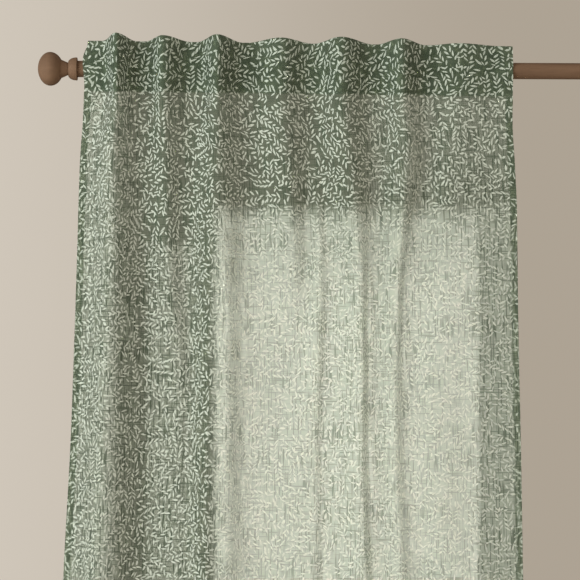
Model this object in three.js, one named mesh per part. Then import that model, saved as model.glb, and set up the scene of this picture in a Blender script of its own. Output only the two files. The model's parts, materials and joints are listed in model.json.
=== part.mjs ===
import * as THREE from 'three';

// Tab top voile curtain on a wooden rod, in millimetres with +Z up and the curtain facing -Y.
// The origin is on the rod's axis, at the middle of its length.

const rodRadius = 14;
const rodLength = 1200;
const rodSides = 32;
const seatGap = 0.3; // between pieces that bear on each other

// The panel: how far it hangs, how it is hemmed, and how it sits against the rod.
const drop = 1830;
const topRise = 46.5; // top edge above the rod's axis, at the left end
const lowerToRight = 6; // how much lower the cloth hangs at its right end
const headingHeight = 85;
const clothThickness = 1.2;
const hemThickness = 2;
const sideHemWidth = 12;
const bottomHemHeight = 60;
const facingThickness = 1;
const facingInset = 2; // from the panel's side edges
const topLean = 5; // the heading leans back above the rod
const swingBack = 9; // the cloth hangs closer under the rod below the heading

// Where the cloth's top edge and heading seam leave the level at the crest of a fold.
const crestLift = 0.75; // rise of the top edge, times the fold depth to the power below
const liftPower = 0.6;
const crestDroop = 0.13; // fall of the seam for each millimetre of fold depth
const droopEnds = -300; // height at which the fall has faded out

const seamHeight = topRise - headingHeight;
const hemHeight = topRise - drop;
const columns = 100;
const rowHeights = [
  topRise, 29, 12, -12, seamHeight, -70, -110, -160, -210, -260, -320, -400,
  -500, -620, -760, -920, -1100, -1300, -1520, hemHeight + bottomHemHeight, hemHeight,
];

// The panel's two side edges, from the top down.
const sideEdges = [
  { z: topRise, left: -581, right: 149 },
  { z: 16, left: -589.5, right: 149 },
  { z: -28, left: -587, right: 148.5 },
  { z: -90, left: -589, right: 147.5 },
  { z: -160, left: -594, right: 152 },
  { z: -240, left: -597, right: 156 },
  { z: -440, left: -603, right: 158.5 },
  { z: -640, left: -610, right: 162.5 },
  { z: -870, left: -622, right: 166 },
  { z: hemHeight, left: -658, right: 181 },
];

// Each fold's crest at five heights: its place, its depth in front of the cloth's hollows,
// and how far its left and right flanks reach.
const swellSharpness = 2.1; // a higher power makes the crests narrower
const foldHeights = [-45, -140, -380, -680, hemHeight];
const folds = [
  {
    name: 'first',
    x: [-531, -538, -541, -553, -590],
    depth: [44, 40, 42, 44, 46],
    left: [24, 44, 50, 54, 58],
    right: [32, 42, 65, 77, 85],
  },
  {
    name: 'second',
    x: [-453, -449, -441, -415, -415],
    depth: [32, 24, 12, 14, 16],
    left: [28, 37, 46, 62, 70],
    right: [46, 33, 30, 45, 50],
  },
  {
    name: 'third',
    x: [-360, -362, -369, -374, -385],
    depth: [42, 38, 34, 38, 40],
    left: [32, 43, 42, 42, 60],
    right: [42, 55, 68, 72, 80],
  },
  {
    name: 'third_branch',
    x: [-340, -340, -340, -339, -335],
    depth: [0, 0, 9, 11, 12],
    left: [26, 26, 26, 26, 30],
    right: [26, 26, 28, 30, 36],
  },
  {
    name: 'fourth',
    x: [-251, -242, -230, -240, -240],
    depth: [27, 26, 8, 0, 0],
    left: [54, 60, 60, 60, 60],
    right: [52, 43, 25, 25, 25],
  },
  {
    name: 'fourth_branch',
    x: [-195, -190, -184, -194, -190],
    depth: [0, 0, 12, 10, 16],
    left: [22, 22, 22, 90, 68],
    right: [14, 14, 14, 14, 38],
  },
  {
    name: 'fifth',
    x: [-149, -137, -114, -114, -90],
    depth: [37, 34, 26, 26, 30],
    left: [42, 60, 54, 64, 58],
    right: [55, 52, 18, 17, 45],
  },
  {
    name: 'sixth',
    x: [-46, -38, -53, -56, 5],
    depth: [32, 28, 22, 18, 24],
    left: [37, 43, 42, 40, 50],
    right: [43, 41, 18, 22, 42],
  },
  {
    name: 'seventh',
    x: [57, 40, 30, 20, 100],
    depth: [9, 9, 10, 12, 18],
    left: [50, 35, 62, 53, 52],
    right: [66, 80, 100, 120, 60],
  },
];

// The tabs are sewn behind the hollows between the folds.
const tabCentres = [-563, -488.5, -399, -310, -195, -88, 3, 120];
const tabWidth = 26;
const tabThickness = 1.2;
const tabColumns = 6;
const tabSewnTop = { from: 38, to: 29 };
const tabSewnBottom = { from: -27, to: -36 };
const tabArcSteps = 8;

// The finial's turned outline: distances out from its collar's flat face, and radii.
const finial = {
  collarRadius: 19.6,
  collarEdge: 1.5,
  neckRadius: 10.6,
  neckAt: 15.7,
  ballStart: 27.3,
  ballStartRadius: 15.7,
  ballRadius: 28.8,
  ballMiddle: 46.3,
  length: 67.4,
};
const finialSides = 28;

const voile = { color: 0x7f9a80, roughness: 0.9, metalness: 0 };
const wood = { color: 0x7a5a45, roughness: 0.55, metalness: 0 };

// Smooth curve through values given at descending heights, level beyond the ends.
function alongHeight(heights, values, z) {
  const last = heights.length - 1;
  if (z >= heights[0]) return values[0];
  if (z <= heights[last]) return values[last];
  const k = heights.findIndex((height) => height <= z) - 1;
  const slopeAt = (i) => {
    if (i <= 0 || i >= last) return 0;
    return (values[i + 1] - values[i - 1]) / (heights[i + 1] - heights[i - 1]);
  };
  const step = heights[k + 1] - heights[k];
  const t = (z - heights[k]) / step;
  const rise = values[k + 1] - values[k];
  const start = slopeAt(k) * step;
  const end = slopeAt(k + 1) * step;
  const value = values[k] + t * start + t * t * (3 * rise - 2 * start - end)
    + t * t * t * (start + end - 2 * rise);
  return THREE.MathUtils.clamp(
    value,
    Math.min(values[k], values[k + 1]),
    Math.max(values[k], values[k + 1]),
  );
}

function sideEdge(side, z) {
  return alongHeight(sideEdges.map((row) => row.z), sideEdges.map((row) => row[side]), z);
}

// A fold's rounded swell, from 1 on its crest to 0 where a flank ends.
function swell(distance, leftReach, rightReach) {
  const t = Math.abs(distance) / (distance < 0 ? leftReach : rightReach);
  if (t >= 1) return 0;
  return Math.cos((t * Math.PI) / 2) ** swellSharpness;
}

function foldDepth(x, z) {
  let depth = 0;
  for (const fold of folds) {
    const distance = x - alongHeight(foldHeights, fold.x, z);
    const left = alongHeight(foldHeights, fold.left, z);
    const right = alongHeight(foldHeights, fold.right, z);
    depth += alongHeight(foldHeights, fold.depth, z) * swell(distance, left, right);
  }
  return depth;
}

// How far the panel's front lies from the rod's axis where it has no fold.
function hollowDepth(z) {
  const againstRod = rodRadius + seatGap + facingThickness + seatGap + clothThickness;
  const lean = topLean * THREE.MathUtils.smoothstep(z, 10, topRise);
  const swing = swingBack * (1 - THREE.MathUtils.smoothstep(z, droopEnds, -headingHeight));
  return againstRod - lean - swing;
}

// A point of the panel's front face: x across, z as the height before the cloth sags.
function frontPoint(x, z) {
  const depth = foldDepth(x, z);
  const across = (x - sideEdge('left', z)) / (sideEdge('right', z) - sideEdge('left', z));
  const lift = crestLift * depth ** liftPower * THREE.MathUtils.smoothstep(z, 0, topRise);
  const belowTop = 1 - THREE.MathUtils.smoothstep(z, seamHeight, topRise);
  const fade = THREE.MathUtils.smoothstep(z, droopEnds, seamHeight);
  const droop = crestDroop * depth * belowTop * fade;
  return new THREE.Vector3(x, -(hollowDepth(z) + depth), z + lift - droop - lowerToRight * across);
}

// The point that lies the given distance behind the panel's front face.
function behindPoint(x, z, distance) {
  const reach = 0.5;
  const acrossWay = frontPoint(x + reach, z).sub(frontPoint(x - reach, z));
  const upWay = frontPoint(x, z + reach).sub(frontPoint(x, z - reach));
  const backward = upWay.cross(acrossWay).normalize();
  return frontPoint(x, z).addScaledVector(backward, distance);
}

// One closed body between two grids of points, each a list of rows from the top down.
// The front grid faces -Y when its rows run towards +X.
function solidBetween(front, back) {
  const rowCount = front.length;
  const columnCount = front[0].length;
  const size = rowCount * columnCount;
  const positions = [...front.flat(), ...back.flat()].flatMap((point) => point.toArray());
  const faces = [];
  const quad = (a, b, c, d) => faces.push(a, b, c, a, c, d);
  const at = (row, column) => row * columnCount + column;
  for (let row = 0; row < rowCount - 1; row += 1) {
    for (let column = 0; column < columnCount - 1; column += 1) {
      const [a, b] = [at(row, column), at(row, column + 1)];
      const [c, d] = [at(row + 1, column + 1), at(row + 1, column)];
      quad(a, d, c, b);
      quad(a + size, b + size, c + size, d + size);
    }
    const [upperLeft, lowerLeft] = [at(row, 0), at(row + 1, 0)];
    const [upperRight, lowerRight] = [at(row, columnCount - 1), at(row + 1, columnCount - 1)];
    quad(upperLeft, upperLeft + size, lowerLeft + size, lowerLeft);
    quad(upperRight, lowerRight, lowerRight + size, upperRight + size);
  }
  for (let column = 0; column < columnCount - 1; column += 1) {
    const [topLeft, topRight] = [at(0, column), at(0, column + 1)];
    const [footLeft, footRight] = [at(rowCount - 1, column), at(rowCount - 1, column + 1)];
    quad(topLeft, topRight, topRight + size, topLeft + size);
    quad(footLeft, footLeft + size, footRight + size, footRight);
  }
  const geometry = new THREE.BufferGeometry();
  geometry.setAttribute('position', new THREE.Float32BufferAttribute(positions, 3));
  geometry.setIndex(faces);
  geometry.computeVertexNormals();
  return geometry;
}

// Even spacing between the side hems, with one column on each outer edge, drawn in by the inset.
function columnPlaces(z, inset) {
  const left = sideEdge('left', z);
  const right = sideEdge('right', z);
  const inside = Array.from({ length: columns - 1 }, (_, k) => (
    THREE.MathUtils.lerp(left + sideHemWidth, right - sideHemWidth, k / (columns - 2))
  ));
  return [left + inset, ...inside, right - inset];
}

function panelGeometry() {
  const front = [];
  const back = [];
  for (const z of rowHeights) {
    const places = columnPlaces(z, 0);
    const inBottomHem = z <= hemHeight + bottomHemHeight;
    front.push(places.map((x) => frontPoint(x, z)));
    back.push(places.map((x, k) => {
      const hemmed = inBottomHem || k === 0 || k === places.length - 1;
      return behindPoint(x, z, hemmed && z < seamHeight ? hemThickness : clothThickness);
    }));
  }
  return solidBetween(front, back);
}

function facingGeometry() {
  const nearSide = clothThickness + seatGap;
  const heights = rowHeights.filter((z) => z >= seamHeight);
  const layer = (distance) => heights.map((z) => (
    columnPlaces(z, facingInset).map((x) => behindPoint(x, z, distance))
  ));
  return solidBetween(layer(nearSide), layer(nearSide + facingThickness));
}

// Where a tab's middle lies on the back of the facing, as a point in the YZ plane.
function tabRest(x, z) {
  const behindFront = clothThickness + seatGap + facingThickness + 2 * seatGap + tabThickness / 2;
  const reach = 0.5;
  const slope = (foldDepth(x + reach, z) - foldDepth(x - reach, z)) / (2 * reach);
  const front = frontPoint(x, z);
  return new THREE.Vector2(front.y + behindFront * Math.hypot(1, slope), front.z);
}

// A tab's course at one place across it, as points in the YZ plane from its top end down.
function tabCourse(x) {
  const wrapRadius = rodRadius + seatGap + tabThickness / 2;
  const tangentAngle = (point) => {
    const angle = Math.atan2(point.y, -point.x);
    return angle + Math.sign(angle) * Math.acos(wrapRadius / point.length());
  };
  const leaves = tabRest(x, tabSewnTop.to);
  const returns = tabRest(x, tabSewnBottom.from);
  const startAngle = tangentAngle(leaves);
  const endAngle = tangentAngle(returns) + 2 * Math.PI;
  const arc = Array.from({ length: tabArcSteps + 1 }, (_, k) => {
    const angle = THREE.MathUtils.lerp(startAngle, endAngle, k / tabArcSteps);
    return new THREE.Vector2(-wrapRadius * Math.cos(angle), wrapRadius * Math.sin(angle));
  });
  return [tabRest(x, tabSewnTop.from), leaves, ...arc, returns, tabRest(x, tabSewnBottom.to)];
}

function tabGeometry(centre) {
  const places = Array.from({ length: tabColumns + 1 }, (_, k) => (
    centre + tabWidth * (k / tabColumns - 0.5)
  ));
  const courses = places.map(tabCourse);
  const layer = (side) => courses[0].map((_, k) => places.map((x, column) => {
    const course = courses[column];
    const before = course[Math.max(k - 1, 0)];
    const after = course[Math.min(k + 1, course.length - 1)];
    const along = after.clone().sub(before).normalize();
    const offset = new THREE.Vector2(along.y, -along.x).multiplyScalar((side * tabThickness) / 2);
    const point = course[k].clone().add(offset);
    return new THREE.Vector3(x, point.x, point.y);
  }));
  return solidBetween(layer(1), layer(-1));
}

// The finial's outline from the middle of its collar's flat face to its outer end.
function finialOutline() {
  const { collarRadius, collarEdge, neckRadius, neckAt } = finial;
  const { ballStart, ballStartRadius, ballRadius, ballMiddle, length } = finial;
  const collarSteps = 6;
  const ballSteps = 10;
  const outline = [new THREE.Vector2(0, 0), new THREE.Vector2(collarRadius, 0)];
  for (let k = 0; k <= collarSteps; k += 1) {
    const angle = ((k / collarSteps) * Math.PI) / 2;
    outline.push(new THREE.Vector2(
      neckRadius + (collarRadius - neckRadius) * Math.cos(angle),
      collarEdge + (neckAt - collarEdge) * Math.sin(angle),
    ));
  }
  const startAngle = Math.asin(ballStartRadius / ballRadius);
  const innerHalf = (ballMiddle - ballStart) / Math.cos(startAngle);
  const outerHalf = length - ballMiddle;
  for (let k = 0; k <= ballSteps; k += 1) {
    const angle = THREE.MathUtils.lerp(startAngle, Math.PI, k / ballSteps);
    const half = angle < Math.PI / 2 ? innerHalf : outerHalf;
    const radius = k === ballSteps ? 0 : ballRadius * Math.sin(angle);
    outline.push(new THREE.Vector2(radius, ballMiddle - half * Math.cos(angle)));
  }
  return outline;
}

function named(name, geometry, finish) {
  const mesh = new THREE.Mesh(geometry, new THREE.MeshStandardMaterial(finish));
  mesh.name = name;
  return mesh;
}

function rodMesh() {
  const geometry = new THREE.CylinderGeometry(rodRadius, rodRadius, rodLength - 2 * seatGap, rodSides);
  const mesh = named('rod', geometry, wood);
  mesh.rotation.z = Math.PI / 2;
  return mesh;
}

// A finial pointing away from the rod at one end: side is -1 on the left and 1 on the right.
function finialMesh(name, side) {
  const mesh = named(name, new THREE.LatheGeometry(finialOutline(), finialSides), wood);
  mesh.rotation.z = (-side * Math.PI) / 2;
  mesh.position.x = (side * rodLength) / 2;
  return mesh;
}

const curtain = new THREE.Group();
curtain.add(rodMesh());
curtain.add(finialMesh('finial_left', -1));
curtain.add(finialMesh('finial_right', 1));
curtain.add(named('panel', panelGeometry(), voile));
curtain.add(named('heading_facing', facingGeometry(), voile));
tabCentres.forEach((centre, k) => {
  curtain.add(named(`tab_${k + 1}`, tabGeometry(centre), voile));
});

export default curtain;
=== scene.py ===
# Tab top voile curtain on a wooden rod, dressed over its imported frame. Everything is in metres,
# with the origin on the rod's axis, +Z up and the curtain facing -Y.
import json
import math

import bpy
import numpy as np
from mathutils import Vector, noise
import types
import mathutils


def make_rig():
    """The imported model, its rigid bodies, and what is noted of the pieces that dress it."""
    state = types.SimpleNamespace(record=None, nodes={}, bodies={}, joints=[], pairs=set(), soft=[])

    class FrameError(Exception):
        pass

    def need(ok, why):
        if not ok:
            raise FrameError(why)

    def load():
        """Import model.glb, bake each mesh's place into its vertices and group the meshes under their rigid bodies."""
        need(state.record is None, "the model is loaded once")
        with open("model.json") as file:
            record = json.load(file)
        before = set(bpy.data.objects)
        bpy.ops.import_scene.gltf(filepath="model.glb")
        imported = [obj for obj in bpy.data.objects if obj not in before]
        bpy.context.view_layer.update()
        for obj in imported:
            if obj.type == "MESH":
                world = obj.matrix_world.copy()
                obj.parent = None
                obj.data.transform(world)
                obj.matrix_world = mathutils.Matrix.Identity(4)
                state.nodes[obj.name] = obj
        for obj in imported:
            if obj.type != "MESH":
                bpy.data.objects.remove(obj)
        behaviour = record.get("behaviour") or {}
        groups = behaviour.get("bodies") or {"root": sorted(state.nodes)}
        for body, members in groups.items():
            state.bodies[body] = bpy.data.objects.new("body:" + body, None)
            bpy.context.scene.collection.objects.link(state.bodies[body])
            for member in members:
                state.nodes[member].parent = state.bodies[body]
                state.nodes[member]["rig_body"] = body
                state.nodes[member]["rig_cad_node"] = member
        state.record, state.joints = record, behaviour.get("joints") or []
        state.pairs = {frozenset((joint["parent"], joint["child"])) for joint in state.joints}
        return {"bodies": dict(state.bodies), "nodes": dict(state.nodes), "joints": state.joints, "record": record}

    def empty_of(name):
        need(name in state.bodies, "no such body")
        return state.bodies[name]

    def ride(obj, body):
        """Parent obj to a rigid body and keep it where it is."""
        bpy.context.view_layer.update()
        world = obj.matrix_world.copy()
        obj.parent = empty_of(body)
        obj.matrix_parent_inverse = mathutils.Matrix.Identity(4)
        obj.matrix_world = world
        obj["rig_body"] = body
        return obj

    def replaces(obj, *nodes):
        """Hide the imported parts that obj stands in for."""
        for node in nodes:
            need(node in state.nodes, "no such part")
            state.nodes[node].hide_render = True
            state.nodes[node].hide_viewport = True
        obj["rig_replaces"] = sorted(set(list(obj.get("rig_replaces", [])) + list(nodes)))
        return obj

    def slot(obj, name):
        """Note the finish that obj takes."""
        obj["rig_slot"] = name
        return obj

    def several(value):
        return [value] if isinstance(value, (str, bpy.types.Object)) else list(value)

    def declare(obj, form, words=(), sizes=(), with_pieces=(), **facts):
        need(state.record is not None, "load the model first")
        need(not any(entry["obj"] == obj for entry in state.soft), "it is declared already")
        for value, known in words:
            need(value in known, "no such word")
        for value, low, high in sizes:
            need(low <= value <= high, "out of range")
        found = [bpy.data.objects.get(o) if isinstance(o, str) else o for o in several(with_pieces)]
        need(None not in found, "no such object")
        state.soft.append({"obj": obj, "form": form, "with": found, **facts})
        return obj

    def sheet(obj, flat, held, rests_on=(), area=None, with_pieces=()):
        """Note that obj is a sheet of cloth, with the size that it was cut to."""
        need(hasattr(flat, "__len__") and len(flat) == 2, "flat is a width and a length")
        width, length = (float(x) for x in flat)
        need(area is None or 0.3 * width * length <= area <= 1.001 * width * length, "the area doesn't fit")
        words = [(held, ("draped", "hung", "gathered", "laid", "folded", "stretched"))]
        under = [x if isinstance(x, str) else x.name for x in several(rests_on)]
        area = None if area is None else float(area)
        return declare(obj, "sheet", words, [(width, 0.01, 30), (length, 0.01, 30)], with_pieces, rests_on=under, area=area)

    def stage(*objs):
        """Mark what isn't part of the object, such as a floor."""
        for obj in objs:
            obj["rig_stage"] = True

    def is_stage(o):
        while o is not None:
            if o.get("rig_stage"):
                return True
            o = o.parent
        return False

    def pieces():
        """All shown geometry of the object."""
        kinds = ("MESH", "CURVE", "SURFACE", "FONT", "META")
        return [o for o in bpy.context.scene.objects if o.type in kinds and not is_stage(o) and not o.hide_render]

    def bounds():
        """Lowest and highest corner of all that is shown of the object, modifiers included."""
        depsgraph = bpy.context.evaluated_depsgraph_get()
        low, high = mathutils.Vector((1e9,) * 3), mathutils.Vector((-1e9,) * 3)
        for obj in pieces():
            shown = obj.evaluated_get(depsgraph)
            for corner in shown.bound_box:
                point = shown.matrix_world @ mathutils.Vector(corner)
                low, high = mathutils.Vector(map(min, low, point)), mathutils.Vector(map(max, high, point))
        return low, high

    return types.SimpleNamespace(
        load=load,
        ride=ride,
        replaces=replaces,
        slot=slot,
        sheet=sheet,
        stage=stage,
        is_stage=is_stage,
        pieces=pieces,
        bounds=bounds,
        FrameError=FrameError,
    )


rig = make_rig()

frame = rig.load()
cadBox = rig.bounds()
print("frame loaded:", len(frame["nodes"]), "nodes")

mm = 0.001
wholeTurn = 2 * math.pi


# camera, background and lamps

studio = {
    "cameraPlace": (-0.3415, -3.398, -0.510),
    "cameraPitch": 0.69,  # degrees above level
    "cameraTurn": -1.8,  # degrees about Z: from the left, so the rod falls slightly to the right
    "lens": 122.7,
    "shiftUp": 0.090,
    # the wall behind is painted lighter at the left and darker at the right: painted shade, not the wall's own colour
    "wallLeft": (0.635, 0.575, 0.495),
    "wallRight": (0.420, 0.365, 0.295),
    "wallShade": 0.16,  # how far to each side the painted shade on the wall keeps changing
    "ambientColour": (1.0, 0.95, 0.87),
    "ambient": 0.22,
    "floorHeight": -1.83,
    "floorRadius": 6.0,
    "floorColour": (0.56, 0.52, 0.46),
}


def addCamera():
    cameraData = bpy.data.cameras.new("studioCamera")
    camera = bpy.data.objects.new("studioCamera", cameraData)
    bpy.context.scene.collection.objects.link(camera)
    camera.location = studio["cameraPlace"]
    camera.rotation_mode = "XYZ"
    pitch = math.radians(90 + studio["cameraPitch"])
    camera.rotation_euler = (pitch, 0, math.radians(studio["cameraTurn"]))
    cameraData.sensor_width = 36
    cameraData.lens = studio["lens"]
    cameraData.shift_y = studio["shiftUp"]
    bpy.context.scene.camera = camera


class Wire:
    # wraps one socket, so that shader maths is written as a plain expression
    def __init__(self, tree, socket=None):
        self.tree = tree
        self.socket = socket

    # any node: its type, its settings, and the values or links of its sockets
    def node(self, kind, settings=None, sockets=None, output=0):
        made = self.tree.nodes.new(kind)
        for name, value in (settings or {}).items():
            setattr(made, name, value)
        for name, value in (sockets or {}).items():
            if isinstance(value, Wire):
                self.tree.links.new(value.socket, made.inputs[name])
            else:
                made.inputs[name].default_value = value
        return Wire(self.tree, made.outputs[output] if made.outputs else None)

    def maths(self, operation, *values):
        return self.node("ShaderNodeMath", {"operation": operation}, dict(enumerate(values)))

    def __add__(self, other):
        return self.maths("ADD", self, other)

    def __radd__(self, other):
        return self.maths("ADD", other, self)

    def __sub__(self, other):
        return self.maths("SUBTRACT", self, other)

    def __rsub__(self, other):
        return self.maths("SUBTRACT", other, self)

    def __mul__(self, other):
        return self.maths("MULTIPLY", self, other)

    def __rmul__(self, other):
        return self.maths("MULTIPLY", other, self)

    def __truediv__(self, other):
        return self.maths("DIVIDE", self, other)

    def __gt__(self, other):
        return self.maths("GREATER_THAN", self, other)

    def __lt__(self, other):
        return self.maths("LESS_THAN", self, other)

    def __abs__(self):
        return self.maths("ABSOLUTE", self)

    def __round__(self):
        return self.maths("ROUND", self)

    # 0 below the first number and 1 above the second, with a smooth way between
    def rise(self, low, high):
        sockets = {"Value": self, "From Min": low, "From Max": high}
        return self.node("ShaderNodeMapRange", {"interpolation_type": "SMOOTHSTEP"}, sockets)

    def vector(self, operation, *values):
        return self.node("ShaderNodeVectorMath", {"operation": operation}, dict(enumerate(values)))

    def apart(self):
        parts = self.node("ShaderNodeSeparateXYZ", None, {"Vector": self})
        sockets = parts.socket.node.outputs
        return [Wire(self.tree, socket) for socket in sockets]

    def joined(self, x, y, z=0.0):
        return self.node("ShaderNodeCombineXYZ", None, {"X": x, "Y": y, "Z": z})

    def noise(self, scale, detail=2.0, roughness=0.5):
        sockets = {"Vector": self, "Scale": scale, "Detail": detail, "Roughness": roughness}
        return self.node("ShaderNodeTexNoise", {"noise_dimensions": "3D"}, sockets)

    # a colour between two others, by a factor
    def tint(self, first, second):
        made = self.node("ShaderNodeMix", {"data_type": "RGBA"}, {"Factor": self}, 2)
        for place, value in ((6, first), (7, second)):
            target = made.socket.node.inputs[place]
            if isinstance(value, Wire):
                self.tree.links.new(value.socket, target)
            else:
                target.default_value = (*value, 1)
        return made


def addWorld():
    world = bpy.data.worlds.new("studioWorld")
    world.use_nodes = True
    world.node_tree.nodes.clear()
    start = Wire(world.node_tree)
    # painted shade: the backdrop darkens from the left to the right
    across = start.node("ShaderNodeTexCoord", None, None, "Generated").apart()[0]
    shade = across.rise(-studio["wallShade"], studio["wallShade"])
    wall = shade.tint(studio["wallLeft"], studio["wallRight"])
    seen = start.node("ShaderNodeBackground", None, {"Color": wall, "Strength": 1.0})
    ambientColour = (*studio["ambientColour"], 1)
    ambient = start.node(
        "ShaderNodeBackground", None, {"Color": ambientColour, "Strength": studio["ambient"]}
    )
    straight = start.node("ShaderNodeLightPath", None, None, "Is Camera Ray")
    both = start.node("ShaderNodeMixShader", None, {0: straight, 1: ambient, 2: seen})
    start.node("ShaderNodeOutputWorld", None, {"Surface": both})
    bpy.context.scene.world = world


# Each lamp: its place, the point it is turned to, its width and height, power, colour and spread.
lamps = {
    "softKey": {
        "place": (-3.45, -2.5, 0.10), "aim": (-0.2, 0, -0.60), "size": (2.8, 2.4),
        "power": 128, "colour": (0.88, 1.0, 1.03), "spread": 180,
    },
    "warmFill": {
        "place": (1.4, -4.2, -0.2), "aim": (-0.2, 0, -0.7), "size": (2.4, 2.4),
        "power": 40, "colour": (0.985, 1.0, 0.90), "spread": 180,
    },
}
# Daylight behind the cloth: upright panes just behind it, each with its edges and the share of
# the brightness that it gives. The later panes start lower, so the glow grows downwards.
windowGlow = {
    "standsBehind": 0.075,
    "apart": 0.004,
    "brightness": 6.1,  # watts per square metre
    "colour": (1.0, 0.97, 1.01),
    "spread": 14,
    "panes": (
        {"left": -0.362, "right": 0.090, "top": -0.240, "foot": -1.70, "share": 0.34},
        {"left": -0.362, "right": 0.090, "top": -0.256, "foot": -1.70, "share": 0.34},
        {"left": -0.362, "right": 0.090, "top": -0.310, "foot": -1.70, "share": 0.12},
        {"left": -0.362, "right": 0.090, "top": -0.345, "foot": -1.70, "share": 0.10},
        {"left": -0.362, "right": 0.090, "top": -0.385, "foot": -1.70, "share": 0.10},
        {"left": 0.094, "right": 0.200, "top": -0.240, "foot": -1.70, "share": 0.31},
        {"left": -0.100, "right": 0.180, "top": -0.050, "foot": -0.246, "share": 0.10},
        {"left": -0.660, "right": -0.535, "top": -0.050, "foot": -1.70, "share": 0.31},
        {"left": -0.476, "right": -0.396, "top": -0.300, "foot": -1.70, "share": 0.19},
    ),
}


def addLamp(name, place, aim, size, power, colour, spread):
    lampData = bpy.data.lights.new(name, "AREA")
    lampData.shape = "RECTANGLE"
    lampData.size = size[0]
    lampData.size_y = size[1]
    lampData.energy = power
    lampData.color = colour
    lampData.spread = math.radians(spread)
    lamp = bpy.data.objects.new(name, lampData)
    bpy.context.scene.collection.objects.link(lamp)
    lamp.location = place
    direction = Vector(aim) - Vector(place)
    lamp.rotation_mode = "QUATERNION"
    lamp.rotation_quaternion = direction.to_track_quat("-Z", "Y")
    lamp.visible_camera = False


def addLamps():
    for name, lamp in lamps.items():
        addLamp(name, **lamp)
    for k, pane in enumerate(windowGlow["panes"]):
        size = (pane["right"] - pane["left"], pane["top"] - pane["foot"])
        middle = (pane["left"] + pane["right"]) / 2
        height = (pane["top"] + pane["foot"]) / 2
        behind = windowGlow["standsBehind"] + windowGlow["apart"] * k
        place = (middle, behind, height)
        power = windowGlow["brightness"] * pane["share"] * size[0] * size[1]
        aim = (middle, -1, height)
        addLamp(f"windowPane{k + 1}", place, aim, size, power, windowGlow["colour"], windowGlow["spread"])


def startMaterial(name):
    material = bpy.data.materials.new(name)
    material.use_nodes = True
    material.node_tree.nodes.clear()
    return material, Wire(material.node_tree)


def select(piece):
    bpy.ops.object.select_all(action="DESELECT")
    bpy.context.view_layer.objects.active = piece
    piece.select_set(True)


def addFloor():
    bpy.ops.object.select_all(action="DESELECT")
    place = (0, 0, studio["floorHeight"])
    bpy.ops.mesh.primitive_circle_add(
        vertices=96, radius=studio["floorRadius"], fill_type="NGON", location=place
    )
    floor = bpy.context.object
    floor.name = "studioFloor"
    material, start = startMaterial("paleFloor")
    colour = (*studio["floorColour"], 1)
    surface = start.node("ShaderNodeBsdfPrincipled", None, {"Base Color": colour, "Roughness": 0.8})
    start.node("ShaderNodeOutputMaterial", None, {"Surface": surface})
    floor.data.materials.append(material)
    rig.stage(floor)


addCamera()
addWorld()
addLamps()
addFloor()
bpy.context.scene.view_settings.view_transform = "Standard"
print("studio ready")


# how the cloth hangs: the same folds as the frame's solids, in millimetres

cloth = {
    "flatWidth": 930,
    "drop": 1830,
    "topRise": 46.5,
    "headingHeight": 85,
    "lowerToRight": 6,
    "crestLift": 0.75,
    "liftPower": 0.6,
    "swellSharpness": 2.1,
    "crestDroop": 0.13,
    "droopEnds": -300,
    "topLean": 5,
    "leanStarts": 10,
    "swingBack": 9,
    "againstRod": 16.8,  # from the rod's axis to the cloth's front
    "sheetBehind": 0.6,  # from the solid's front to the middle of the cloth
    "facingBehind": 2.0,
    "hemBehind": 1.6,
    "turnBend": 0.3,
    "facingBeyond": 0.5,  # how far past the edge the cloth goes as it turns over
    "hemBeyond": 0.4,
    "sideHemWidth": 12,
    "bottomHemHeight": 60,
}
seamHeight = cloth["topRise"] - cloth["headingHeight"]
hemHeight = cloth["topRise"] - cloth["drop"]
# the flat cloth's own measures in metres
flatWidth = cloth["flatWidth"] * mm
drop = cloth["drop"] * mm
headingEnd = cloth["headingHeight"] * mm

# the panel's two edges, in millimetres at ten heights
edgeHeights = [46.5, 16, -28, -90, -160, -240, -440, -640, -870, hemHeight]
leftEdge = [-581, -589.5, -587, -589, -594, -597, -603, -610, -622, -658]
rightEdge = [149, 149, 148.5, 147.5, 152, 156, 158.5, 162.5, 166, 181]

# each fold at five heights: the crest's place, its depth, and the reach of its two flanks
foldHeights = [-45, -140, -380, -680, hemHeight]
folds = {
    "first": {
        "x": [-531, -538, -541, -553, -590], "depth": [44, 40, 42, 44, 46],
        "left": [24, 44, 50, 54, 58], "right": [32, 42, 65, 77, 85],
    },
    "second": {
        "x": [-453, -449, -441, -415, -415], "depth": [32, 24, 12, 14, 16],
        "left": [28, 37, 46, 62, 70], "right": [46, 33, 30, 45, 50],
    },
    "third": {
        "x": [-360, -362, -369, -374, -385], "depth": [42, 38, 34, 38, 40],
        "left": [32, 43, 42, 42, 60], "right": [42, 55, 68, 72, 80],
    },
    "thirdBranch": {
        "x": [-340, -340, -340, -339, -335], "depth": [0, 0, 9, 11, 12],
        "left": [26, 26, 26, 26, 30], "right": [26, 26, 28, 30, 36],
    },
    "fourth": {
        "x": [-251, -242, -230, -240, -240], "depth": [27, 26, 8, 0, 0],
        "left": [54, 60, 60, 60, 60], "right": [52, 43, 25, 25, 25],
    },
    "fourthBranch": {
        "x": [-195, -190, -184, -194, -190], "depth": [0, 0, 12, 10, 16],
        "left": [22, 22, 22, 90, 68], "right": [14, 14, 14, 14, 38],
    },
    "fifth": {
        "x": [-149, -137, -114, -114, -90], "depth": [37, 34, 26, 26, 30],
        "left": [42, 60, 54, 64, 58], "right": [55, 52, 18, 17, 45],
    },
    "sixth": {
        "x": [-46, -38, -53, -56, 5], "depth": [32, 28, 22, 18, 24],
        "left": [37, 43, 42, 40, 50], "right": [43, 41, 18, 22, 42],
    },
    "seventh": {
        "x": [57, 40, 30, 20, 100], "depth": [9, 9, 10, 12, 18],
        "left": [50, 35, 62, 53, 52], "right": [66, 80, 100, 120, 60],
    },
}


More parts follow.
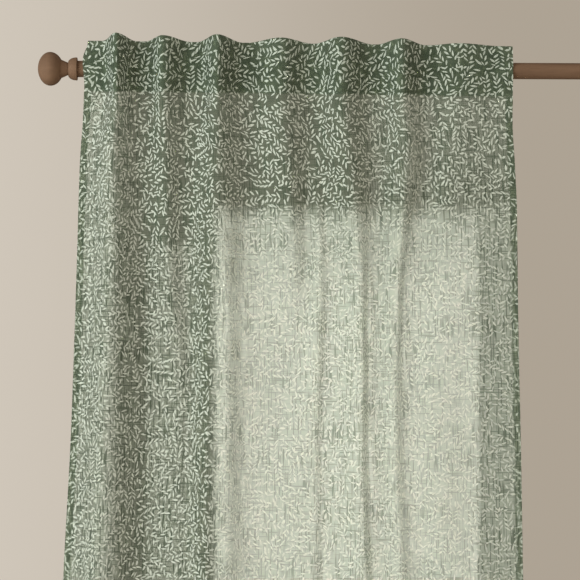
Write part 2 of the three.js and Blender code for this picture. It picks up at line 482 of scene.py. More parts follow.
# a smooth curve through values given at falling heights, level beyond the ends
def alongHeight(heights, values, z):
    last = len(heights) - 1
    if z >= heights[0]:
        return values[0]
    if z <= heights[last]:
        return values[last]
    k = next(i for i, height in enumerate(heights) if height <= z) - 1
    step = heights[k + 1] - heights[k]

    def slopeAt(i):
        if i <= 0 or i >= last:
            return 0
        return (values[i + 1] - values[i - 1]) / (heights[i + 1] - heights[i - 1])

    t = (z - heights[k]) / step
    grows = values[k + 1] - values[k]
    start = slopeAt(k) * step
    end = slopeAt(k + 1) * step
    value = values[k] + t * start + t * t * (3 * grows - 2 * start - end)
    value += t * t * t * (start + end - 2 * grows)
    return min(max(value, min(values[k], values[k + 1])), max(values[k], values[k + 1]))


def smoothStep(value, low, high):
    t = min(max((value - low) / (high - low), 0), 1)
    return t * t * (3 - 2 * t)


def foldDepths(x, z):
    depth = np.zeros_like(x)
    for fold in folds.values():
        crest, deep, left, right = (
            alongHeight(foldHeights, fold[name], z) for name in ("x", "depth", "left", "right")
        )
        away = x - crest
        t = np.clip(np.abs(away) / np.where(away < 0, left, right), 0, 1)
        depth += deep * np.cos(t * math.pi / 2) ** cloth["swellSharpness"]
    return depth


# Small unevenness of the hanging cloth: sizes in millimetres towards the front, tightness of
# each pattern across and down per metre, and reaches in metres.
relief = {
    "drift": {"size": 1.1, "across": 17, "down": 2.3, "seed": 3.1},
    "crease": {"size": 0.4, "across": 62, "down": 8, "seed": 9.4},
    "pucker": {"size": 0.55, "across": 120, "down": 20, "seed": 5},
    "edgeRipple": {"size": 0.9, "across": 4, "down": 22, "seed": 1.7},
    "seamPinch": 1.3,
    "pinchPlace": -0.001,  # down from the seam
    "pinchReach": 0.0035,
    "puckerReach": 0.012,
    "rippleReach": 0.014,
    "rippleStarts": 0.02,
}


def uneven(name, u, v):
    part = relief[name]
    place = Vector((u * part["across"], v * part["down"], part["seed"]))
    return part["size"] * noise.noise(place)


def bell(value, reach):
    return math.exp(-(value / reach) * (value / reach))


def reliefAt(u, v):
    size = uneven("drift", u, v) + uneven("crease", u, v)
    # the heading only swells forward, clear of its facing
    inHeading = 1 - smoothStep(v, headingEnd - relief["puckerReach"], headingEnd)
    size = size * (1 - inHeading) + abs(size) * inHeading
    size += bell(v - headingEnd, relief["puckerReach"]) * uneven("pucker", u, v)
    fromStitches = v - headingEnd - relief["pinchPlace"]
    size -= relief["seamPinch"] * bell(fromStitches, relief["pinchReach"])
    fromSide = min(u, flatWidth - u) / relief["rippleReach"]
    below = smoothStep(v, headingEnd, headingEnd + relief["rippleStarts"])
    return size + below * math.exp(-fromSide) * uneven("edgeRipple", u, v)


# The hanging cloth as one fine grid: rows down the drop and columns across the flat width.
gridRows = 611
gridColumns = 300
fineColumns = 1500  # samples across, from which the columns are spaced evenly along the folds


def hangCloth():
    rowHeights = np.linspace(cloth["topRise"], hemHeight, gridRows)
    points = np.zeros((gridRows, gridColumns, 3))
    for row, z in enumerate(rowHeights):
        left = alongHeight(edgeHeights, leftEdge, z)
        right = alongHeight(edgeHeights, rightEdge, z)
        fine = np.linspace(left, right, fineColumns)
        depth = foldDepths(fine, z)
        lengths = np.hypot(np.diff(fine), np.diff(depth))
        arc = np.concatenate([[0], np.cumsum(lengths)])
        x = np.interp(np.linspace(0, arc[-1], gridColumns), arc, fine)
        depth = foldDepths(x, z)
        hollow = cloth["againstRod"]
        hollow -= cloth["topLean"] * smoothStep(z, cloth["leanStarts"], cloth["topRise"])
        hollow -= cloth["swingBack"] * (1 - smoothStep(z, cloth["droopEnds"], -cloth["headingHeight"]))
        lift = cloth["crestLift"] * depth ** cloth["liftPower"] * smoothStep(z, 0, cloth["topRise"])
        belowTop = 1 - smoothStep(z, seamHeight, cloth["topRise"])
        fade = smoothStep(z, cloth["droopEnds"], seamHeight)
        droop = cloth["crestDroop"] * depth * belowTop * fade
        across = (x - left) / (right - left)
        points[row, :, 0] = x
        points[row, :, 1] = -(hollow + depth)
        points[row, :, 2] = z + lift - droop - cloth["lowerToRight"] * across
    points *= mm
    forward = clothNormals(points)
    for row in range(gridRows):
        v = drop * row / (gridRows - 1)
        sizes = [reliefAt(flatWidth * k / (gridColumns - 1), v) for k in range(gridColumns)]
        points[row] += forward[row] * (np.array(sizes) * mm)[:, None]
    return points, clothNormals(points)


def clothNormals(points):
    down, across = np.gradient(points, axis=(0, 1))
    normals = np.cross(down, across)
    normals /= np.linalg.norm(normals, axis=2)[:, :, None]
    return normals if normals[:, :, 1].mean() < 0 else -normals


clothPoints, clothForward = hangCloth()


# the place on the hanging cloth of a point of the flat one, some way behind the solid's front
def onCloth(u, v, behind):
    column = u / flatWidth * (gridColumns - 1)
    row = v / drop * (gridRows - 1)
    i = int(min(max(column, 0), gridColumns - 2))
    j = int(min(max(row, 0), gridRows - 2))
    s = column - i
    t = row - j
    weights = (
        (j, i, (1 - s) * (1 - t)),
        (j, i + 1, s * (1 - t)),
        (j + 1, i, (1 - s) * t),
        (j + 1, i + 1, s * t),
    )
    point = sum(clothPoints[a, b] * w for a, b, w in weights)
    forward = sum(clothForward[a, b] * w for a, b, w in weights)
    forward = forward / np.linalg.norm(forward)
    return Vector(point - forward * behind * mm)


# where across the flat cloth a point of the hanging one lies
def flatPlace(x, v):
    row = int(round(v / drop * (gridRows - 1)))
    return float(np.interp(x, clothPoints[row, :, 0], np.linspace(0, flatWidth, gridColumns)))


print("cloth hung")


# finishes

voileFinish = {
    "ground": (0.118, 0.148, 0.094),
    "groundDark": (0.085, 0.108, 0.068),
    "leaf": (0.76, 0.78, 0.645),
    "through": (0.90, 0.95, 0.765),
    "groundThrough": 0.28,  # share of the cloth that lets light glow through
    "plainGlow": 1.25,  # that share's factor between the thick yarns
    "slubDims": 0.98,  # how much of the factor a thick yarn takes away
    "slubShade": 0.75,  # how far a thick yarn takes the darker colour
    "slubFills": 0.08,
    "printBlocks": 1.25,
    "slubHeight": 0.4,
    "leafHeight": 0.3,
    "groundAlpha": 0.90,
    "leafAlpha": 0.80,
    "wornInk": 0.74,  # how strong the ink is where it is thinnest
    "slubWidth": 2.5 * mm,
    "slubLength": 46 * mm,
    "uprightSlubs": (0.50, 0.63),
    "levelSlubs": (0.53, 0.66),
    "levelStrength": 0.85,
    "shadePatches": 30,  # per metre
    "inkPatches": 110,  # per metre
}
# The leaf print: patches of stems, each patch turned its own way, with leaves slanting off
# both sides of every stem. A leaf too near its patch's edge gives way to a loose one.
leaf = {
    "patch": 42 * mm,
    "patchScatter": 0.85,
    "stemGap": 17.8 * mm,
    "spacing": 7.8 * mm,
    "length": 11.3 * mm,
    "halfWidth": 1.50 * mm,
    "startsAt": 2.0 * mm,
    "slant": (30, 48),
    "stemCurve": 30,  # per metre
    "leafCurl": 18,  # per metre
    "sway": 22,  # degrees that a leaf may turn from its row
    "stagger": 1.6 * mm,
    "aside": 1.4 * mm,
    "shortest": 0.78,
    "lengthRange": 0.34,
    "slimmest": 0.80,
    "fullnessRange": 0.38,
    "nextStem": 0.37,  # how far each stem's leaves start along from the one before
    "otherSide": 0.25,
    "wander": 2.2 * mm,
    "wanderSize": 24 * mm,
    "stemHalfWidth": 0.22 * mm,
    "stem": 0.12,  # how strongly a stem takes the leaf's colour
    "missing": 0.07,
    "edgeRoom": 4.0 * mm,
    "stemEndRoom": 3.2 * mm,
    "looseCell": 9.0 * mm,
    "looseScatter": 0.75,
    "looseLength": 9.266 * mm,
    "looseCurl": 40,  # per metre
    "softness": 0.16 * mm,
}


def turned(x, y, angle):
    cosine = x.maths("COSINE", angle)
    sine = x.maths("SINE", angle)
    return x * cosine + y * sine, y * cosine - x * sine


# 1 inside a leaf that is pointed at both ends
def blade(part, away, fullness=1.0):
    swell = part * (1 - part) * (4 * leaf["halfWidth"]) * fullness
    return (swell - away).rise(-leaf["softness"], leaf["softness"])


def patchEdge(place):
    sockets = {"Vector": place, "Scale": 1 / leaf["patch"], "Randomness": leaf["patchScatter"]}
    settings = {"voronoi_dimensions": "2D", "feature": "DISTANCE_TO_EDGE"}
    return place.node("ShaderNodeTexVoronoi", settings, sockets, "Distance") * leaf["patch"]


def chances(place):
    settings = {"noise_dimensions": "3D"}
    return place.node("ShaderNodeTexWhiteNoise", settings, {"Vector": place}, "Color").apart()


def cellOf(plan, size, scatter):
    sockets = {"Vector": plan, "Scale": 1 / size, "Randomness": scatter}
    return plan.node("ShaderNodeTexVoronoi", {"voronoi_dimensions": "2D"}, sockets, "Position")


def sprigPatches(plan):
    patch = cellOf(plan, leaf["patch"], leaf["patchScatter"])
    first, second, third = chances(patch)
    x, y, _ = plan.vector("SUBTRACT", plan, patch).apart()
    turn = first * wholeTurn
    along, aside = turned(x, y, turn)
    curve = (second - 0.5) * leaf["stemCurve"]
    level = aside - along * along * curve
    stemNumber = round(level / leaf["stemGap"])
    offStem = level - stemNumber * leaf["stemGap"]
    side = (offStem > 0) * 2 - 1
    away = abs(offStem)
    low, high = (math.radians(angle) for angle in leaf["slant"])
    slant = low + third * (high - low)
    sine = plan.maths("SINE", slant)
    cosine = plan.maths("COSINE", slant)
    shift = (stemNumber * leaf["nextStem"] + side * leaf["otherSide"]) * leaf["spacing"]
    foot = along - away * cosine / sine + shift
    number = round(foot / leaf["spacing"])
    beside = foot - number * leaf["spacing"]
    reach = beside * cosine + away / sine
    seed = plan.joined(number + side * 0.31, stemNumber * 7.3, first * 97)
    size, fullness, keep = chances(seed)
    sway, nudge, curl = chances(plan.joined(stemNumber * 5.1, first * 31, number + side * 0.17))
    length = leaf["length"] * (leaf["shortest"] + leaf["lengthRange"] * size)
    middleReach = leaf["startsAt"] + leaf["length"] / 2
    out = reach - middleReach + (nudge - 0.5) * leaf["stagger"]
    out, off = turned(out, beside * sine, (sway - 0.5) * math.radians(leaf["sway"] * 2))
    off = off + (curl - 0.5) * leaf["aside"] - out * out * ((curl - 0.5) * leaf["leafCurl"])
    fullness = leaf["slimmest"] + leaf["fullnessRange"] * fullness
    leaves = blade(out / length + 0.5, abs(off), fullness)
    stem = (leaf["stemHalfWidth"] - away).rise(-leaf["softness"], leaf["softness"]) * leaf["stem"]
    # the leaf's own middle, back in the flat cloth's places, tells whether it clears the edge
    middleAlong = number * leaf["spacing"] - shift + cosine * middleReach
    middleLevel = stemNumber * leaf["stemGap"] + side * sine * middleReach
    middleAside = middleLevel + middleAlong * middleAlong * curve
    backX, backY = turned(middleAlong, middleAside, 0 - turn)
    middle = plan.vector("ADD", patch, plan.joined(backX, backY))
    leaves = leaves * (patchEdge(middle) > leaf["edgeRoom"]) * (keep > leaf["missing"])
    return leaves, stem * (patchEdge(plan) > leaf["stemEndRoom"])


def looseLeaves(plan):
    cell = cellOf(plan, leaf["looseCell"], leaf["looseScatter"])
    way, size, keep = chances(cell)
    x, y, _ = plan.vector("SUBTRACT", plan, cell).apart()
    along, aside = turned(x, y, way * wholeTurn)
    bend = along * along * ((size - 0.5) * leaf["looseCurl"])
    leaves = blade(along / leaf["looseLength"] + 0.5, abs(aside - bend))
    return leaves * (patchEdge(cell) < leaf["edgeRoom"]) * (keep > leaf["missing"])


def leafPrint(plan):
    stray = plan.noise(1 / leaf["wanderSize"], 0.0)
    colour = Wire(plan.tree, stray.socket.node.outputs["Color"])
    away = plan.vector("SUBTRACT", colour, (0.5, 0.5, 0.5))
    reach = leaf["wander"] * 4
    plan = plan.vector("ADD", plan, plan.vector("MULTIPLY", away, (reach, reach, 0)))
    sprigs, stems = sprigPatches(plan)
    leaves = plan.maths("MAXIMUM", sprigs, looseLeaves(plan))
    return plan.maths("MAXIMUM", leaves, stems)


# thicker yarns both ways, each fading in and out along its length
def slubs(plan):
    u, v, _ = plan.apart()
    narrow = 1 / voileFinish["slubWidth"]
    long = 1 / voileFinish["slubLength"]
    upright = plan.joined(u * narrow, v * long, 0.0).noise(1.0, 1.0)
    level = plan.joined(u * long, v * narrow, 7.0).noise(1.0, 1.0)
    return upright.rise(*voileFinish["uprightSlubs"]), level.rise(*voileFinish["levelSlubs"])


def voileMaterial():
    material, start = startMaterial("voileLeafPrint")
    plan = start.node("ShaderNodeUVMap", {"uv_map": "clothPlan"})
    leaves = leafPrint(plan)
    upright, level = slubs(plan)
    thick = plan.maths("MAXIMUM", upright, level * voileFinish["levelStrength"])
    patch = plan.noise(voileFinish["shadePatches"], 2.0).rise(0.35, 0.65)
    ground = patch.tint(voileFinish["ground"], voileFinish["groundDark"])
    ground = (thick * voileFinish["slubShade"]).tint(ground, voileFinish["groundDark"])
    worn = voileFinish["wornInk"]
    ink = plan.noise(voileFinish["inkPatches"], 1.0).rise(0.30, 0.60) * (1 - worn) + worn
    colour = (leaves * ink).tint(ground, voileFinish["leaf"])
    alpha = voileFinish["groundAlpha"] + thick * voileFinish["slubFills"]
    alpha = alpha - leaves * (voileFinish["groundAlpha"] - voileFinish["leafAlpha"])
    glowing = voileFinish["plainGlow"] - thick * voileFinish["slubDims"]
    through = voileFinish["groundThrough"] * glowing
    through = plan.maths("MAXIMUM", through * (1 - leaves * voileFinish["printBlocks"]), 0)
    height = (upright + level) * voileFinish["slubHeight"] + leaves * voileFinish["leafHeight"]
    bump = start.node("ShaderNodeBump", None, {"Strength": 0.35, "Distance": 0.0004, "Height": height})
    printed = start.node("ShaderNodeBsdfPrincipled", None, {
        "Base Color": colour, "Roughness": 0.92, "Alpha": alpha, "Normal": bump,
        "Specular IOR Level": 0.2, "Sheen Weight": 0.15, "Sheen Roughness": 0.5,
    })
    glow = start.node("ShaderNodeBsdfTranslucent", None, {"Color": (*voileFinish["through"], 1)})
    both = start.node("ShaderNodeMixShader", None, {0: through, 1: printed, 2: glow})
    start.node("ShaderNodeOutputMaterial", None, {"Surface": both})
    return material


threadFinish = {
    "dark": (0.16, 0.20, 0.14),
    "light": (0.26, 0.31, 0.23),
    "twist": 900,  # per metre
}


def threadMaterial():
    material, start = startMaterial("sewingThread")
    place = start.node("ShaderNodeTexCoord", None, None, "Object")
    twist = place.noise(threadFinish["twist"], 1.0)
    colour = twist.tint(threadFinish["dark"], threadFinish["light"])
    bump = start.node("ShaderNodeBump", None, {"Strength": 0.3, "Distance": 0.0002, "Height": twist})
    surface = start.node("ShaderNodeBsdfPrincipled", None, {
        "Base Color": colour, "Roughness": 0.75, "Normal": bump, "Sheen Weight": 0.2,
    })
    start.node("ShaderNodeOutputMaterial", None, {"Surface": surface})
    return material


woodFinish = {
    "light": (0.300, 0.165, 0.096),
    "dark": (0.168, 0.088, 0.049),
    "roughness": 0.68,
    # each pattern's tightness per metre, along the rod and across it
    "figure": (5, 70),
    "pores": (45, 900),
    "turningMarks": (1 / (1.3 * mm), 8),
    "figureTint": 0.55,
    "poreTint": 0.3,
    "marksTint": 0.42,
    "tintUnderMarks": 0.72,
    "figureHeight": 0.4,
    "poreHeight": 0.6,
    "marksHeight": 1.2,
    "poreRoughness": 0.18,
}


# the grain runs along the rod, and turned pieces carry faint marks round them as well
def woodMaterial(name, marks):
    material, start = startMaterial(name)
    place = start.node("ShaderNodeTexCoord", None, None, "Object")
    x, y, z = place.apart()

    def pattern(name, detail, roughness=0.5):
        along, across = woodFinish[name]
        return place.joined(x * along, y * across, z * across).noise(1.0, detail, roughness)

    figure = pattern("figure", 4.0, 0.6)
    pores = pattern("pores", 2.0)
    mix = figure.rise(0.25, 0.75) * woodFinish["figureTint"] + pores * woodFinish["poreTint"]
    height = figure * woodFinish["figureHeight"] + pores * woodFinish["poreHeight"]
    if marks:
        rings = pattern("turningMarks", 2.0)
        mix = mix * woodFinish["tintUnderMarks"] + rings * woodFinish["marksTint"]
        height = height + rings * woodFinish["marksHeight"]
    colour = mix.tint(woodFinish["dark"], woodFinish["light"])
    rough = woodFinish["roughness"] + pores * woodFinish["poreRoughness"]
    bump = start.node("ShaderNodeBump", None, {"Strength": 0.4, "Distance": 0.0003, "Height": height})
    surface = start.node("ShaderNodeBsdfPrincipled", None, {
        "Base Color": colour, "Roughness": rough, "Normal": bump, "Specular IOR Level": 0.25,
    })
    start.node("ShaderNodeOutputMaterial", None, {"Surface": surface})
    return material


voile = voileMaterial()
thread = threadMaterial()
rodWood = woodMaterial("rodWood", False)
turnedWood = woodMaterial("turnedWood", True)
print("finishes ready")


# cloth pieces: thin sheets on the same folds

pieces = {}


def keepPiece(piece, name, slotName, material, nodes=()):
    piece.name = name
    piece.data.name = name
    piece.data.materials.clear()
    piece.data.materials.append(material)
    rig.ride(piece, "root")
    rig.slot(piece, slotName)
    if nodes:
        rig.replaces(piece, *nodes)
    pieces[name] = piece
    return piece


# a sheet from rows of points and of flat places, both listed from the top down
def sheetMesh(name, rows, plans):
    columns = len(rows[0])
    points = [point for row in rows for point in row]
    faces = []
    for j in range(len(rows) - 1):
        for i in range(columns - 1):
            corner = j * columns + i
            faces.append((corner, corner + columns, corner + columns + 1, corner + 1))
    mesh = bpy.data.meshes.new(name)
    mesh.from_pydata(points, [], faces)
    layer = mesh.uv_layers.new(name="clothPlan")
    flat = [place for row in plans for place in row]
    for loop in mesh.loops:
        layer.data[loop.index].uv = flat[loop.vertex_index]
    mesh.polygons.foreach_set("use_smooth", [True] * len(mesh.polygons))
    piece = bpy.data.objects.new(name, mesh)
    bpy.context.scene.collection.objects.link(piece)
    return piece


# a layer of the cloth: at each step down and across, the flat place and how far behind it lies
def clothLayer(name, steps, crossings, nodes=(), shift=(0, 0)):
    rows = []
    plans = []
    for v, behindDown in steps:
        row = [onCloth(u, v, max(behindDown, behindAcross)) for u, behindAcross in crossings]
        rows.append(row)
        plans.append([(u + shift[0], v + shift[1]) for u, _ in crossings])
    piece = sheetMesh(name, rows, plans)
    return keepPiece(piece, name, "voile", voile, nodes)


front = cloth["sheetBehind"]


def spread(start, end, count):
    return [start + (end - start) * k / count for k in range(count + 1)]


# the cloth's course over an edge, from the front layer to the rear one
def turnOver(edge, beyond, deep):
    bend = cloth["turnBend"]
    return [(edge, front), (beyond, front + bend), (beyond, deep - bend), (edge, deep)]


def makePanel():
    fineEnd = 0.15  # finer rows as far down as the relief round the seam
    downs = spread(0, fineEnd, 50) + spread(fineEnd, drop, 270)[1:]
    crossings = [(u, 0) for u in spread(0, flatWidth, 296)]
    return clothLayer("curtainPanel", [(v, front) for v in downs], crossings, ["panel"])


# the turned-back heading: it leaves the panel's top edge and runs down behind it to the seam
def makeFacing():
    deep = cloth["facingBehind"]
    downs = spread(0.002, headingEnd + 0.0015, 30)
    inset = 0.5 * mm
    crossings = [(u, 0) for u in spread(inset, flatWidth - inset, 200)]
    steps = turnOver(0, -cloth["facingBeyond"] * mm, deep) + [(v, deep) for v in downs]
    return clothLayer("headingFacing", steps, crossings, ["heading_facing"], (0.37, 0.52))


def makeSideHem(name, outer, inward):
    deep = cloth["hemBehind"]
    width = cloth["sideHemWidth"] * mm
    crossings = turnOver(outer, outer - inward * cloth["hemBeyond"] * mm, deep)
    crossings += [(outer + inward * u, deep) for u in spread(0.001, width, 4)]
    if inward < 0:
        crossings.reverse()
    downs = spread(headingEnd + 0.003, drop, 420)
    return clothLayer(name, [(v, 0) for v in downs], crossings, (), (0.2, 0.9))


def makeBottomHem():
    deep = cloth["hemBehind"]
    high = cloth["bottomHemHeight"] * mm
    ups = spread(drop - 0.001, drop - high, 16)
    side = cloth["sideHemWidth"] * mm
    crossings = [(u, 0) for u in spread(side, flatWidth - side, 240)]
    steps = turnOver(drop, drop + cloth["hemBeyond"] * mm, deep) + [(v, deep) for v in ups]
    steps.reverse()
    return clothLayer("bottomHem", steps, crossings, (), (0.6, 0.3))


panel = makePanel()
facing = makeFacing()
leftHem = makeSideHem("sideHemLeft", 0, 1)
rightHem = makeSideHem("sideHemRight", flatWidth, -1)
bottomHem = makeBottomHem()
print("panel, facing and hems made")


tab = {
    "centres": (-563, -488.5, -399, -310, -195, -88, 3, 120),
    "width": 26,
    "thickness": 0.9,
    "sewnTop": (38, 29),
    "sewnBottom": (-27, -36),
    "behind": 3.3,  # from the cloth's front to the tab's middle
    "wrapRadius": 14.9,
    "columns": 8,
    "arcSteps": 26,
    "sewnSteps": 4,
    "tautSteps": 3,
    "planAway": 1.7,  # where on the flat print each tab is cut from
    "planGap": 0.13,
}


# a tab's course at one place across it: sewn down, taut to the rod, round it and back
def tabCourse(x):
    def rest(height):
        v = (cloth["topRise"] - height) * mm
        point = onCloth(flatPlace(x, v), v, tab["behind"])
        return Vector((point.y, point.z))

    radius = tab["wrapRadius"] * mm

    def tangentAngle(point):
        angle = math.atan2(point.y, -point.x)
        return angle + math.copysign(math.acos(min(radius / point.length, 1)), angle)

    topEnd, leaves = (rest(height) for height in tab["sewnTop"])
    returns, footEnd = (rest(height) for height in tab["sewnBottom"])
    startAngle = tangentAngle(leaves)
    endAngle = tangentAngle(returns) + wholeTurn
    arc = []
    for k in range(tab["arcSteps"] + 1):
        angle = startAngle + (endAngle - startAngle) * k / tab["arcSteps"]
        arc.append(Vector((-radius * math.cos(angle), radius * math.sin(angle))))
    sewn = tab["sewnSteps"]
    taut = tab["tautSteps"]
    sewnTop = [topEnd.lerp(leaves, k / sewn) for k in range(sewn)]
    out = [leaves.lerp(arc[0], k / taut) for k in range(taut)]
    back = [arc[-1].lerp(returns, k / taut) for k in range(1, taut)]
    sewnFoot = [returns.lerp(footEnd, k / sewn) for k in range(sewn + 1)]
    return sewnTop + out + arc + back + sewnFoot


def makeTab(number, centre):
    half = tab["width"] / 2
    xs = spread((centre - half) * mm, (centre + half) * mm, tab["columns"])
    courses = [tabCourse(x) for x in xs]
    rows = []
    plans = []
    down = 0
    for k in range(len(courses[0])):
        rows.append([Vector((x, course[k].x, course[k].y)) for x, course in zip(xs, courses)])
        if k:
            down += (courses[0][k] - courses[0][k - 1]).length
        plans.append([(x + tab["planAway"], down + number * tab["planGap"]) for x in xs])
    piece = sheetMesh(f"backTab{number}", rows, plans)
    select(piece)
    wall = piece.modifiers.new("doubledCloth", "SOLIDIFY")
    wall.thickness = tab["thickness"] * mm
    wall.offset = 0
    bpy.ops.object.modifier_apply(modifier=wall.name)
    return keepPiece(piece, f"backTab{number}", "voile", voile, [f"tab_{number}"])


tabs = [makeTab(k + 1, centre) for k, centre in enumerate(tab["centres"])]
print("tabs made:", len(tabs))


stitch = {
    "length": 2.7,
    "step": 3.5,
    "radius": 0.17,
    "tightStep": 0.78,  # the share of its step that a stitch of a tab takes up
    "clear": 0.15,
    "inHem": 1.2,  # from the hem's inner edge to its stitching
    "inTab": (2.5, 1.2),  # from a tab's sides and from its sewn ends
    "tabClear": 0.1,
    "endSize": 0.35,
    "shoulder": 0.2,
    "middleSize": 1.1,
    "middleLift": 0.5,
}


# rows of stitches as one piece: each a small four-sided spindle lying on the cloth
def makeStitching(name, runs):
    points = []
    faces = []
    for start, end, forward in runs:
        way = end - start
        middle = (start + end) / 2
        aside = way.cross(forward).normalized() * stitch["radius"] * mm
        lift = forward.normalized() * stitch["radius"] * mm
        rings = [
            (start, stitch["endSize"]),
            (start + way * stitch["shoulder"], 1.0),
            (middle + lift * stitch["middleLift"], stitch["middleSize"]),
            (end - way * stitch["shoulder"], 1.0),
            (end, stitch["endSize"]),
        ]
        base = len(points)
        for centre, fat in rings:
            points += [centre + aside * fat, centre + lift * fat, centre - aside * fat, centre - lift * fat]
        for ring in range(len(rings) - 1):
            for k in range(4):
                a = base + ring * 4 + k
                b = base + ring * 4 + (k + 1) % 4
                faces.append((a, b, b + 4, a + 4))
        foot = base + (len(rings) - 1) * 4
        faces.append((base + 3, base + 2, base + 1, base))
        faces.append((foot, foot + 1, foot + 2, foot + 3))
    mesh = bpy.data.meshes.new(name)
    mesh.from_pydata(points, [], faces)
    mesh.polygons.foreach_set("use_smooth", [True] * len(mesh.polygons))
    piece = bpy.data.objects.new(name, mesh)
    bpy.context.scene.collection.objects.link(piece)
    return keepPiece(piece, name, "voile", thread)


def partway(start, end, t):
    return start[0] + (end[0] - start[0]) * t, start[1] + (end[1] - start[1]) * t


# stitches along a line of the flat cloth, on its front and on the back of its rear layer
def runsAlong(start, end, rearBehind):
    length = math.dist(start, end)
    count = int(length / (stitch["step"] * mm))
    found = []
    for k in range(count):
        for behind, outward in ((front - stitch["clear"], 1), (rearBehind + stitch["clear"], -1)):
            near = k / count + (0.5 / count if outward < 0 else 0)
            far = min(near + stitch["length"] / stitch["step"] / count, 1)
            nearPlace, farPlace = (partway(start, end, t) for t in (near, far))
            nearEnd = onCloth(*nearPlace, behind)
            farEnd = onCloth(*farPlace, behind)
            forward = (onCloth(*nearPlace, 0) - nearEnd) * outward
            found.append((nearEnd, farEnd, forward))
    return found


def makeSeamStitching():
    v = headingEnd - 0.001
    runs = runsAlong((0.002, v), (flatWidth - 0.002, v), cloth["facingBehind"])
    return makeStitching("seamStitching", runs)


def makeHemStitching():
    inside = (cloth["sideHemWidth"] - stitch["inHem"]) * mm
    top = headingEnd + 0.004
    deep = cloth["hemBehind"]
    runs = runsAlong((inside, top), (inside, drop - 0.002), deep)
    runs += runsAlong((flatWidth - inside, top), (flatWidth - inside, drop - 0.002), deep)
    up = drop - (cloth["bottomHemHeight"] - stitch["inHem"]) * mm
    runs += runsAlong((inside, up), (flatWidth - inside, up), deep)
    return makeStitching("hemStitching", runs)


# each sewn end of a tab has a small box of stitches on its back
def makeTabStitching():
    runs = []
    sideInset, endInset = stitch["inTab"]
    behind = tab["behind"] + tab["thickness"] / 2 + stitch["tabClear"]
    for centre in tab["centres"]:
        left = (centre - tab["width"] / 2 + sideInset) * mm
        right = (centre + tab["width"] / 2 - sideInset) * mm
        for high, low in (tab["sewnTop"], tab["sewnBottom"]):
            top = (cloth["topRise"] - high + endInset) * mm
            foot = (cloth["topRise"] - low - endInset) * mm
            corners = [(left, top), (right, top), (right, foot), (left, foot), (left, top)]
            for start, end in zip(corners, corners[1:]):
                count = max(int(math.dist(start, end) / (stitch["step"] * mm)), 1)
                for k in range(count):
                    ends = []
                    for t in (k / count, (k + stitch["tightStep"]) / count):
                        x, v = partway(start, end, t)
                        ends.append(onCloth(flatPlace(x, v), v, behind))
                    runs.append((ends[0], ends[1], Vector((0, 1, 0))))
    return makeStitching("tabStitching", runs)


seamStitching = makeSeamStitching()
hemStitching = makeHemStitching()
tabStitching = makeTabStitching()
print("stitching made")


# rod and finials

rod = {
    "radius": 14 * mm,
    "length": 1.2 - 0.6 * mm,
    "endRounding": 0.8 * mm,
}
finial = {
    "collarRadius": 19.6,
    "collarRim": ((0, 0.6), (0.25, 0.15), (0.7, 0)),  # out from its face, in from its radius
    "collarEdge": 1.5,
    "neckRadius": 10.6,
    "neckAt": 15.7,
    "ballStart": 27.3,
    "ballStartRadius": 15.7,
    "ballRadius": 28.8,
    "ballMiddle": 46.3,
    "length": 67.4,
    "rodLength": 1200,
}


def placeApplied(piece):
    select(piece)
    bpy.ops.object.transform_apply(location=True, rotation=True, scale=True)


def makeRod():
    bpy.ops.object.select_all(action="DESELECT")
    bpy.ops.mesh.primitive_cylinder_add(
        vertices=96, radius=rod["radius"], depth=rod["length"], rotation=(0, math.pi / 2, 0)
    )
    piece = bpy.context.object
    placeApplied(piece)
    rounding = piece.modifiers.new("endRounding", "BEVEL")
    rounding.width = rod["endRounding"]
    rounding.segments = 3
    rounding.limit_method = "ANGLE"
    rounding.angle_limit = math.radians(60)
    bpy.ops.object.modifier_apply(modifier=rounding.name)
    bpy.ops.object.shade_smooth_by_angle(angle=math.radians(35))
    return keepPiece(piece, "woodenRod", "wood", rodWood, ["rod"])


# the finial's outline as pairs: distance out from the collar's flat face, and radius
def finialOutline():
    collarSteps = 14
    ballSteps = 34
    outline = [(out, finial["collarRadius"] - inset) for out, inset in finial["collarRim"]]
    for k in range(collarSteps + 1):
        angle = k / collarSteps * math.pi / 2
        out = finial["collarEdge"] + (finial["neckAt"] - finial["collarEdge"]) * math.sin(angle)
        radius = finial["neckRadius"] + (finial["collarRadius"] - finial["neckRadius"]) * math.cos(angle)
        outline.append((out, radius))
    startAngle = math.asin(finial["ballStartRadius"] / finial["ballRadius"])
    innerHalf = (finial["ballMiddle"] - finial["ballStart"]) / math.cos(startAngle)
    outerHalf = finial["length"] - finial["ballMiddle"]
    for k in range(ballSteps):
        angle = startAngle + (math.pi - startAngle) * k / ballSteps
        half = innerHalf if angle < math.pi / 2 else outerHalf
        along = finial["ballMiddle"] - half * math.cos(angle)
        outline.append((along, finial["ballRadius"] * math.sin(angle)))
    return outline


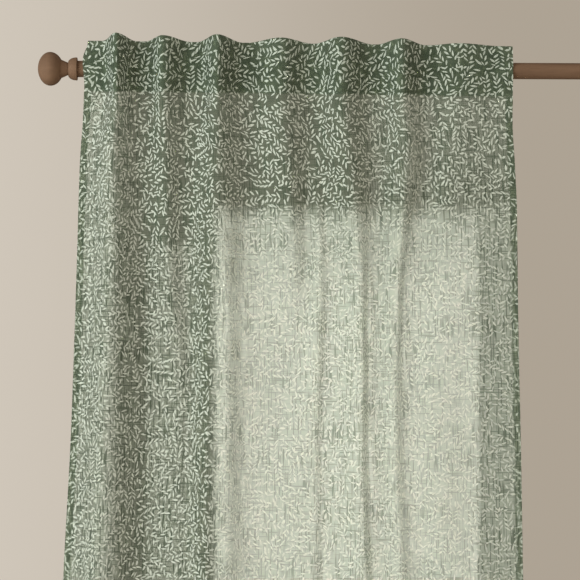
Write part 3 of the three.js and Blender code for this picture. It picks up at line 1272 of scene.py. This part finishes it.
# turned as on a lathe: a disc is drawn out along the axis and widened or narrowed at each step
def makeFinial():
    outline = finialOutline()
    bpy.ops.object.select_all(action="DESELECT")
    bpy.ops.mesh.primitive_circle_add(vertices=72, radius=outline[0][1] * mm, fill_type="NGON")
    piece = bpy.context.object
    bpy.ops.object.mode_set(mode="EDIT")
    bpy.ops.mesh.select_all(action="SELECT")
    for (out, radius), (nextOut, nextRadius) in zip(outline, outline[1:]):
        step = (nextOut - out) * mm
        bpy.ops.mesh.extrude_region_move(TRANSFORM_OT_translate={"value": (0, 0, step)})
        ratio = nextRadius / radius
        bpy.ops.transform.resize(value=(ratio, ratio, 1), center_override=(0, 0, nextOut * mm))
    tip = (finial["length"] - outline[-1][0]) * mm
    bpy.ops.mesh.extrude_region_move(TRANSFORM_OT_translate={"value": (0, 0, tip)})
    bpy.ops.mesh.merge(type="CENTER")
    bpy.ops.mesh.select_all(action="SELECT")
    bpy.ops.mesh.normals_make_consistent(inside=False)
    bpy.ops.object.mode_set(mode="OBJECT")
    bpy.ops.object.shade_smooth_by_angle(angle=math.radians(35))
    return piece


def makeFinials():
    right = makeFinial()
    left = right.copy()
    left.data = right.data.copy()
    bpy.context.scene.collection.objects.link(left)
    end = finial["rodLength"] / 2 * mm
    for piece, side, name in ((left, -1, "ballFinialLeft"), (right, 1, "ballFinialRight")):
        piece.rotation_euler = (0, side * math.pi / 2, 0)
        piece.location = (side * end, 0, 0)
        placeApplied(piece)
        node = "finial_left" if side < 0 else "finial_right"
        keepPiece(piece, name, "wood", turnedWood, [node])


makeRod()
makeFinials()
print("rod and finials made")


# declarations and sizes

onPanel = [facing, leftHem, rightHem, bottomHem, seamStitching, hemStitching, tabStitching] + tabs
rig.sheet(
    panel, flat=(flatWidth, drop), held="hung", rests_on=[pieces["woodenRod"]], with_pieces=onPanel
)

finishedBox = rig.bounds()
with open("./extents.json", "w") as sizeFile:
    json.dump({
        "cad": [list(corner) for corner in cadBox],
        "visual": [list(corner) for corner in finishedBox],
    }, sizeFile)
print("sizes written; pieces:", len(pieces))
